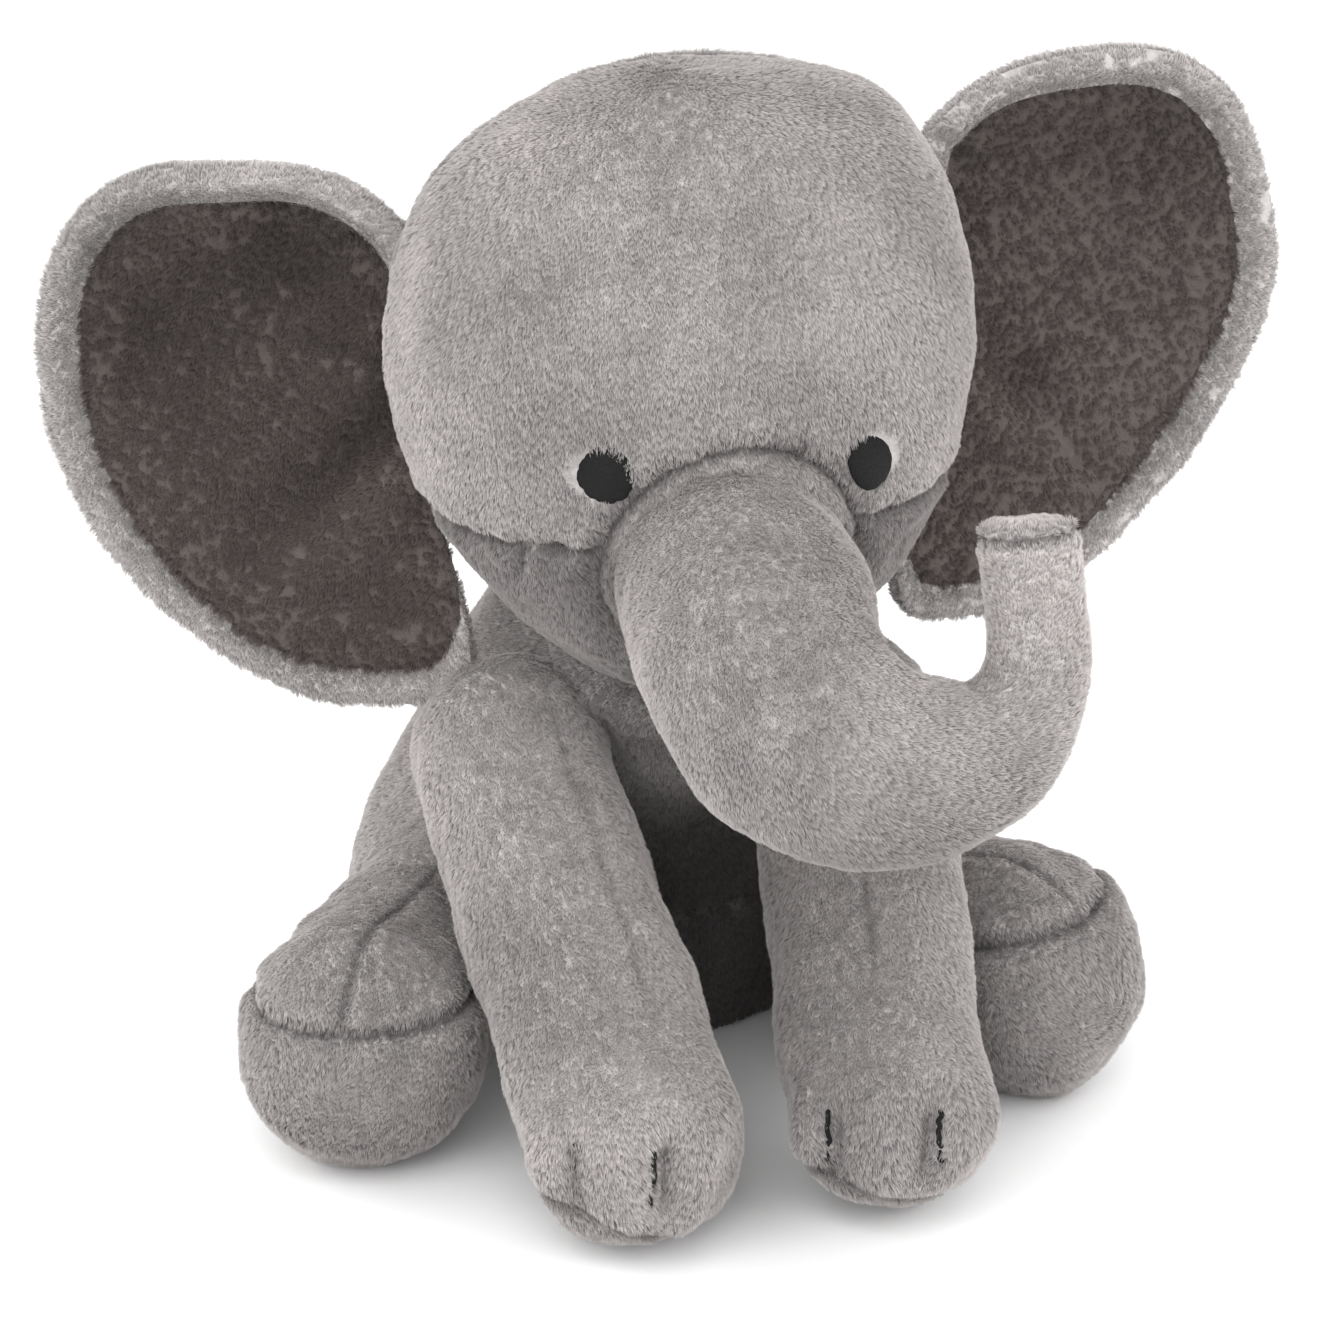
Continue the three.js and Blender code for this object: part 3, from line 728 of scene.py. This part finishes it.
class Ear:
    """An ear's own directions and its outline, from the seam that it hangs on."""

    def __init__(self, name):
        self.name = name
        self.side = 1 if name == "left" else -1
        self.root = pivot(f"ear_{name}_fold")
        self.up = -self.side * np.array(JOINTS[f"ear_{name}_fold"]["axis"])
        sweep = math.radians(EAR_SWEEP[name])
        sideways = np.cross([0, 1.0, 0], self.up)
        self.out = self.side * math.cos(sweep) * sideways + [0, math.sin(sweep), 0]
        self.forward = self.side * math.sin(sweep) * sideways - [0, math.cos(sweep), 0]

    def reach(self, angle):
        """The outline: round above, and below it leans in towards the head."""
        along, rise = np.cos(angle), np.sin(angle)
        shape = EAR_SHAPE[self.name]
        high = np.where(rise > 0, EAR_UP + shape["higher"], EAR_DOWN)
        lean = np.where(rise > 0, 0, EAR_LEAN)
        middle_in, top_in, low_in = shape["towards"]
        inwards = middle_in + top_in * fade(rise, 0, 0.4) + low_in * np.maximum(0, -rise)
        half = EAR_LENGTH / 2 + np.where(along < 0, inwards, shape["longer"])
        upper_out, upper_in, lower_out, lower_in = shape["round"]
        upper, lower = np.where(along > 0, upper_out, upper_in), np.where(along > 0, lower_out, lower_in)
        power = np.where(rise > 0, upper, lower)
        wide, tall = (np.sign(part) * np.abs(part) ** power for part in (along, rise))
        return half * wide - lean * rise**2, high * tall

    def hem(self, angle):
        """How wide the rim of outer fabric is: nothing where the ear goes into the head."""
        upper = fade(np.cos(angle), -1, -0.93)
        lower = fade(np.cos(angle), -0.97, -0.55)
        return 1 + (EAR_HEM - 1) * np.where(np.sin(angle) > 0, upper, lower)

    def edge(self, angle):
        """How far the outline is from the ear's middle."""
        return np.hypot(*self.reach(angle))

    def front(self, angle, share):
        """How far forward the front stands: a roll at the rim, a valley at the hem, and creases."""
        base = EAR_THICKNESS / 2 * np.sqrt(np.maximum(1 - share**2, 0)) + EAR_CUP * (share**2 - 1)
        inside = self.edge(angle) * (1 - share)
        hem = self.hem(angle)
        rolled_in = hem / EAR_HEM
        roll = 2.4 * rolled_in * np.exp(-(((inside - 5.5) / 4.5) ** 2))
        valley = -2.4 * rolled_in * np.exp(-(((inside - hem) / 2.6) ** 2))
        hollow = -3.0 * fade(inside, EAR_HEM, EAR_HEM + 22)
        return base + roll + valley + hollow + self.folds(angle, share)

    def folds(self, angle, share):
        """The creases: each a hill or a hollow along a line from the head, dying out along it."""
        along, rise = (part * share for part in self.reach(angle))
        from_head = along + EAR_LENGTH / 2
        total = 0
        for start, end, height, width in EAR_FOLDS[self.name]:
            run = np.subtract(end, start)
            part = ((from_head - start[0]) * run[0] + (rise - start[1]) * run[1]) / (run @ run)
            part = np.clip(part, 0, 1)
            away = np.hypot(from_head - start[0] - part * run[0], rise - start[1] - part * run[1])
            total = total + 1.4 * height * (1 - 0.5 * part) * np.exp(-((away / width) ** 2))
        return total * fade(self.edge(angle) * (1 - share), 0, 6)

    def spread(self, angle, share, lift):
        """The point at an angle, a share of the way to the outline, and a lift forward."""
        along, rise = self.reach(angle)
        return (
            self.root
            + self.out * (EAR_LENGTH / 2 + along * share)[..., None]
            + self.up * (rise * share)[..., None]
            + self.forward * lift[..., None]
        )

    def cover(self, around=260, along=150):
        """The outer fabric: the front to the rim, then the back, as one closed pillow."""
        u, v = grid(around, along)
        angle, share = 2 * math.pi * u, np.sin(math.pi * v) * (1 - PILE_ROOM / 60)
        half = EAR_THICKNESS / 2 * np.sqrt(np.maximum(1 - share**2, 0))
        back = -half + EAR_CUP * (share**2 - 1)
        inside = self.edge(angle) * (1 - share)
        hem = self.hem(angle)
        front = self.front(angle, share) - 1.5 * fade(inside, hem, hem + 2)
        front = np.maximum(front, back + 1.2)
        rings = self.spread(angle, share, np.where(v < 0.5, front, back))
        wavy = 0.8 * lumps(rings, 38, 21) + 0.3 * lumps(rings, 14, 22)
        under_lining = (v < 0.5) & (inside > hem + 1)
        return rings + self.forward * wavy[..., None], under_lining

    def lining(self, around=240, along=140):
        """The dark lining: the front again inside the hem, with a thin back that hides in the ear."""
        u, v = grid(around, along)
        angle = 2 * math.pi * u
        share = np.sin(math.pi * v) * (1 - (self.hem(angle) + 0.4) / self.edge(angle))
        front = self.front(angle, share)
        rounded = np.sqrt(np.abs(np.cos(math.pi * v)))
        lift = front + np.where(v < 0.5, 0.5, -1.6) * rounded
        rings = self.spread(angle, share, lift)
        wavy = 0.8 * lumps(rings, 38, 21) + 0.3 * lumps(rings, 14, 22)
        return rings + self.forward * wavy[..., None], self.folds(angle, share)


ear_skin = plush_skin("ear_plush", GREY_DARK, GREY_LIGHT)
ear_strands = plush_strands("ear_pile", GREY_DARK, GREY_LIGHT)
LINING_WARMTH = 0.085
LINING_SKIN_SHADE = 0.7  # the lining's bag is darker yet, as painted shade under its pile
lining_skin = plush_skin("lining_plush", LINING_DARK * LINING_SKIN_SHADE, LINING_LIGHT * LINING_SKIN_SHADE, LINING_WARMTH)
lining_strands = plush_strands("lining_pile", LINING_DARK, LINING_LIGHT, LINING_WARMTH)

for name, seed in (("left", 31), ("right", 41)):
    ear = Ear(name)

    rings, under_lining = ear.cover()
    tone = brushed_and_shaded(rings, seed)
    cover = skin(f"ear_{name}_cover", rings, ear_skin, under_lining, tone)
    pile(cover, ear_strands, length=1.7, seed=seed)
    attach(cover, f"ear_{name}")
    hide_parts(f"ear_{name}_outer", f"ear_{name}_batting")

    rings, folds = ear.lining()
    # Painted shade and light: the lining darkens towards the top, and its creases are lighter on their ridges
    # and darker in their hollows.
    tone = 0.1 + brushed_and_shaded(rings, seed + 4) - 0.010 * (rings[..., 2] - ear.root[2]) + 0.10 * folds
    lining = skin(f"ear_{name}_dark_lining", rings, lining_skin, tone=np.clip(tone, 0, 1))
    pile(lining, lining_strands, length=1.7, lean=0.1, push=(ear.side * 0.4, 0, -0.7), seed=seed + 1)
    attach(lining, f"ear_{name}")
    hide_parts(f"ear_{name}_lining")


# %% [markdown]
# The trunk is one bag from the face to its tip. It droops forward, curls to the toy's left and ends
# in a small flat disc.

# %% Trunk
LIFT, CURL = pivot("trunk_lift"), pivot("trunk_curl")
TRUNK_PATH = [
    LIFT,
    LIFT + [-3, -28, -2],
    LIFT + [-5, -50, -8],
    LIFT + [0, -66, -16],
    CURL,
    CURL + [16, -2, -0.5],
    CURL + [29, -1, 3.5],
    CURL + [37, 1, 13.5],
    CURL + [38, 4, 30.5],
    middle("trunk_tip_disc") - [0, 0, 1.3],
]
TRUNK_WIDTHS = [28.5, 28.5, 28, 27, 25, 20, 15.5, 13, 12.3, 11.6]
TRUNK_SIDE = (0.6, -0.6, 0.5)

trunk, _, left = tube(
    TRUNK_PATH, TRUNK_WIDTHS, side=TRUNK_SIDE, blunt=(1, 0.12), grow=-PILE_ROOM, around=220, along=240
)
out = facing(trunk)
move, bare, fold = sewn(trunk, (left - 2.2, np.ones_like(left), 1.3, 1.1))
move += 0.7 * lumps(trunk, 40, 51) + 0.3 * lumps(trunk, 15, 52)
trunk = trunk + out * move[..., None]
# The first stroke darkens the underside of the bend: partly brushed pile, partly painted shade.
tone = brushed_and_shaded(
    trunk,
    54,
    (CURL + [-6, -16, -14], 30, -0.50),
    (LIFT + [-14, -36, 26], 16, -0.20),
    (LIFT + [4, -22, 30], 14, 0.30),
)
# Painted light: the trunk's end is made lighter, where its pile catches the light.
tone = tone + 0.4 * fade(-left, -70, -10)
trunk_skin = plush_skin("trunk_plush", GREY_DARK, GREY_LIGHT)
# Painted shade: in the fold of the tip's seam, and under the bend.
shade = np.maximum(0.7 * fold, bump(trunk, CURL + [-4, -16, -14], 0.30, 26))
trunk_piece = skin("trunk_cover", trunk, trunk_skin, bare, tone, shade)
pile(trunk_piece, plush_strands("trunk_pile", GREY_DARK, GREY_LIGHT), lean=1.2, push=(0, 0, -0.1), seed=53)
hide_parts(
    "trunk_root_skin",
    "trunk_root_stuffing",
    "trunk_end_skin",
    "trunk_end_stuffing",
    "trunk_tip_disc",
)
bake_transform(trunk_piece)

# %% [markdown]
# The body is a pear that sits flat on the floor, and its seams run down the middle in front and
# behind. The legs hang on it as four more tubes.

# %% Body
SEAT_SEAM = 13
NOD_BACK = math.radians(-10)
TORSO_PATH = [[0, 7, 24], [0, 0, 56], [0, -24, 92], [0, -46, 108]]


def under_head(points, room=1.5):
    """Pressed clear of the head as it stands nodded back: a point inside that egg moves out to it."""
    turn = Matrix.Rotation(NOD_BACK, 3, Vector(JOINTS["head_nod"]["axis"]))
    back = (points - pivot("head_nod")) @ np.array(turn) + pivot("head_nod") - HEAD_CENTRE
    share = np.linalg.norm(back / (np.array(HEAD_RADII) - PILE_ROOM + room), axis=-1, keepdims=True)
    back = back / np.minimum(share, 1) + HEAD_CENTRE - pivot("head_nod")
    return back @ np.array(turn).T + pivot("head_nod")


def belly_shade(points):
    """Painted shade between the legs: darkest at the bottom, and none at the neck."""
    return 0.95 * fade(-points[..., 1], 20, 45) * (1 - fade(points[..., 2], 45, 112))


torso, _, _ = tube(
    TORSO_PATH, [71, 57, 41, 28], [61, 56, 46, 30], blunt=(0.6, 0.3), grow=-PILE_ROOM, around=240, along=180
)
out = facing(torso)
x, _, z = np.moveaxis(torso, -1, 0)
all_round = np.ones_like(z)
move, bare, fold = sewn(torso, (x, fade(z, 8, 16), 1.8, 1.8), (z - SEAT_SEAM, all_round, 1.4, 1.7))
move += 1.1 * lumps(torso, 48, 61) + 0.4 * lumps(torso, 18, 62)
torso = under_head(resting(torso + out * move[..., None]))
tone = brushed_and_shaded(torso, 64)
torso_skin = plush_skin("body_plush", GREY_DARK, GREY_LIGHT)
# The second channel is painted shade, in the seam folds and between the legs.
torso_piece = skin("body_cover", torso, torso_skin, bare, tone, np.maximum(0.7 * fold, belly_shade(torso)))
pile(torso_piece, plush_strands("body_pile", GREY_DARK, GREY_LIGHT), lean=-1.1, seed=63)
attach(torso_piece, "torso")
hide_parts("body_panel_left", "body_panel_right", "seat_panel", "body_stuffing")


# %% [markdown]
# The neck is a short gathered collar between the body and the head. Thirteen small puckers go round
# it where the thread draws it in.

# %% Neck
NECK = pivot("head_turn")
neck, _, _ = tube(
    [NECK + [0, 30, -38], NECK + [0, 14, -17], NECK, NECK + [0, -6, 11]],
    [22, 24, 25, 30],
    blunt=(0.3, 0.3),
    around=200,
    along=90,
)
round_neck = np.arctan2(neck[..., 1] - NECK[1], neck[..., 0] - NECK[0])
tuck = np.exp(-(((neck[..., 2] - NECK[2] + 4) / 15) ** 2))
neck = neck + facing(neck) * (0.9 * np.sin(13 * round_neck + 2 * lumps(neck, 60, 67)) * tuck)[..., None]
neck_skin = plush_skin("neck_plush", GREY_DARK, GREY_LIGHT)
# Painted shadow under the chin over the gathered band, and the belly's painted shade below it.
neck_shade = np.maximum(0.5 * tuck, belly_shade(neck))
neck_piece = skin("neck_cover", neck, neck_skin, tone=brushed_and_shaded(neck, 69), shade=neck_shade)
pile(neck_piece, plush_strands("neck_pile", GREY_DARK, GREY_LIGHT), lean=-1.1, seed=68)
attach(neck_piece, "neck")
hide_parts("neck_seam_thread")


# %% [markdown]
# The tail is a thin stuffed tube that hangs from its seam at the back.

# %% Tail
TAIL_FROM = pivot("tail_lift")
tail, _, _ = tube(
    [TAIL_FROM, TAIL_FROM + [0, 26, -23]], [6.5, 5.2], grow=-PILE_ROOM / 2, around=72, along=80
)
tail_skin = plush_skin("tail_plush", GREY_DARK, GREY_LIGHT)
tail_piece = skin("tail_cover", tail, tail_skin, tone=brushed_and_shaded(tail, 66))
pile(tail_piece, plush_strands("tail_pile", GREY_DARK, GREY_LIGHT), seed=65)
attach(tail_piece, "tail")
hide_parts("tail")


# %% [markdown]
# A front leg leans forward to a foot with a sole seam and two toe threads, each pulled into the
# fabric. A hind leg lies on the floor, with the foot's panel under a seam. The right and the left
# legs share their path, mirrored, and differ a little in their stuffing.

# %% Legs
LEG_STEPS = {
    "front": [[0, 0, 0], [-3, -29, -23], [-8, -60, -48], [-11, -84, -65]],
    "hind": [[0, 0, 0], [21, -36, -1], [39, -70, -0.5]],
}
LEG_WIDTHS = {
    "front_left": [25, 25, 24.5, 25.4],
    "front_right": [25, 25.5, 25.5, 26.8],
    "hind_left": [28, 28, 31.5],
    "hind_right": [28, 28, 31],
}
LEG_BLUNT = {"front": (1, 0.9), "hind": (1, 0.95)}
LEG_JOINTS = {"front": "lift", "hind": "splay"}
LEG_NODES = {"front": ("outer", "inner", "sole", "stuffing"), "hind": ("outer", "inner", "foot", "stuffing")}
FRONT_SEAM = 12
HIND_SEAM = {"left": (50, 0.22), "right": (43, 0.0)}  # its height at the foot, and its rise to the left
STITCH_LENGTH = 13
STITCH_PULL = {"left_outer": 1, "left_inner": 0.8, "right_outer": 0.35, "right_inner": 1}
leg_skin = plush_skin("leg_plush", GREY_DARK, GREY_LIGHT)
leg_strands = plush_strands("leg_pile", GREY_DARK, GREY_LIGHT)


def stitch_line(leg, place, lift=0.0, dip=0.0, steps=13):
    """A thread's path down a foot: points of the surface below each other, lifted off it but for one dip."""
    normals = facing(leg)
    spot, normal = on_surface(leg, normals, place)
    down = normal * normal[2] - [0, 0, 1]
    down /= np.linalg.norm(down)
    line = []
    for share in np.linspace(-0.5, 0.5, steps):
        near, out = on_surface(leg, normals, spot + down * share * STITCH_LENGTH)
        line.append(near + out * (lift - dip * math.exp(-(((share - 0.27) / 0.1) ** 2))))
    return np.array(line)


def from_line(points, line):
    """How far each point is from the nearest of a line's points."""
    return np.min(np.linalg.norm(points[..., None, :] - line, axis=-1), axis=-1)


for kind in ("front", "hind"):
    for side, sign in (("left", 1), ("right", -1)):
        name = f"{kind}_leg_{side}"
        hip = pivot(f"{name}_{LEG_JOINTS[kind]}")
        path = [hip + np.array(step) * [sign, 1, 1] for step in LEG_STEPS[kind]]
        leg, at, left = tube(path, LEG_WIDTHS[f"{kind}_{side}"], blunt=LEG_BLUNT[kind], grow=-PILE_ROOM)
        out = facing(leg)
        seed = {"front": 71, "hind": 81}[kind] + sign
        x, y, z = np.moveaxis(leg, -1, 0)
        ahead = (path[-1] - path[0]) * [1, 1, 0]
        aside = np.cross([0, 0, 1], ahead / np.linalg.norm(ahead))
        off_middle = (leg - path[0]) @ aside
        on_top = fade(out[..., 2], -0.1, 0.2)
        stitches = {}
        if kind == "front":
            shift = -3 if side == "left" else 5
            middle_seam = on_top * fade(at, 20, 30) * fade(left, 42, 50)
            level = z - FRONT_SEAM + 0.3 * (x - path[-1][0])
            lines = [(level, np.ones_like(z), 1.1, 1.5), (off_middle - shift, 0.25 * middle_seam, 1.8, 1.2)]
            for place in ("outer", "inner"):
                stitches[place] = middle(f"toe_stitch_{side}_{place}")
        else:
            height, rise = HIND_SEAM[side]
            level = z - height - rise * (x - path[-1][0])
            top_seam = on_top * fade(level, 0, 2) * fade(at, 50, 60)
            lines = [(level, np.ones_like(z), 2.0, 1.6), (off_middle + 4 * sign, 0.5 * top_seam, 1.8, 1.3)]
        move, bare, fold = sewn(leg, *lines)
        for place, spot in stitches.items():
            away = from_line(leg, stitch_line(leg, spot))
            pull = STITCH_PULL[f"{side}_{place}"]
            move += pull * (1.6 * np.exp(-(((away - 9) / 4.5) ** 2)) - 3.6 * np.exp(-((away / 3.6) ** 2)))
            fold = np.maximum(fold, 0.5 * np.exp(-((away / 2.5) ** 2)))
        move += 0.9 * lumps(leg, 34, seed) + 0.35 * lumps(leg, 14, seed + 1)
        leg = resting(leg + out * move[..., None])
        for place, spot in stitches.items():
            shown = STITCH_PULL[f"{side}_{place}"] > 0.5
            line = stitch_line(leg, spot, 0.9 if shown else -0.2, 1.6)
            away = from_line(leg, np.concatenate([line[:9], line[11:]]))
            bare = bare | (away < 1.5 * shown)
            thread, _, _ = tube(line, [0.6] * len(line), around=16, along=60)
            black = thread_finish(f"toe_{side}_{place}_black", 0)
            stitch = skin(f"toe_{side}_{place}_thread", thread, black)
            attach(stitch, name)
            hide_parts(f"toe_stitch_{side}_{place}")
        strokes = (path[-1] + [0, -20, 10], 18, -0.25), (path[1] + [0, 0, 30], 34, 0.25)
        # Painted shade: below the foot's seam the pile is a little darker, and the second channel shades the
        # seam folds and the toe threads' grooves.
        tone = brushed_and_shaded(leg, seed + 5, *strokes) - 0.1 * (level < 0)
        piece = skin(f"{name}_cover", leg, leg_skin, bare, tone, 0.75 * fold)
        pile(piece, leg_strands, lean=0.7, push=(0, -0.2, -0.5), seed=seed + 2)
        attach(piece, name)
        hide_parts(*[f"{name}_{node}" for node in LEG_NODES[kind]])

# %% [markdown]
# The floor is a plain pale sheet under everything.

# %% Floor
floor_finish = Finish("pale_floor")
floor_tone = floor_finish.noise(floor_finish.place(), 0.5, 2, 0.5)
floor_material = floor_finish.close(
    floor_finish.mix(floor_tone, (0.90, 0.90, 0.90, 1), (0.94, 0.94, 0.94, 1)), Roughness=0.9
)
FLOOR_HALF = 6
floor_mesh = bpy.data.meshes.new("floor")
corners = [(-1, -1), (1, -1), (1, 1), (-1, 1)]
floor_mesh.from_pydata([(x * FLOOR_HALF, y * FLOOR_HALF, 0) for x, y in corners], [], [(0, 1, 2, 3)])
floor_mesh.materials.append(floor_material)
floor = bpy.data.objects.new("floor", floor_mesh)
bpy.context.scene.collection.objects.link(floor)
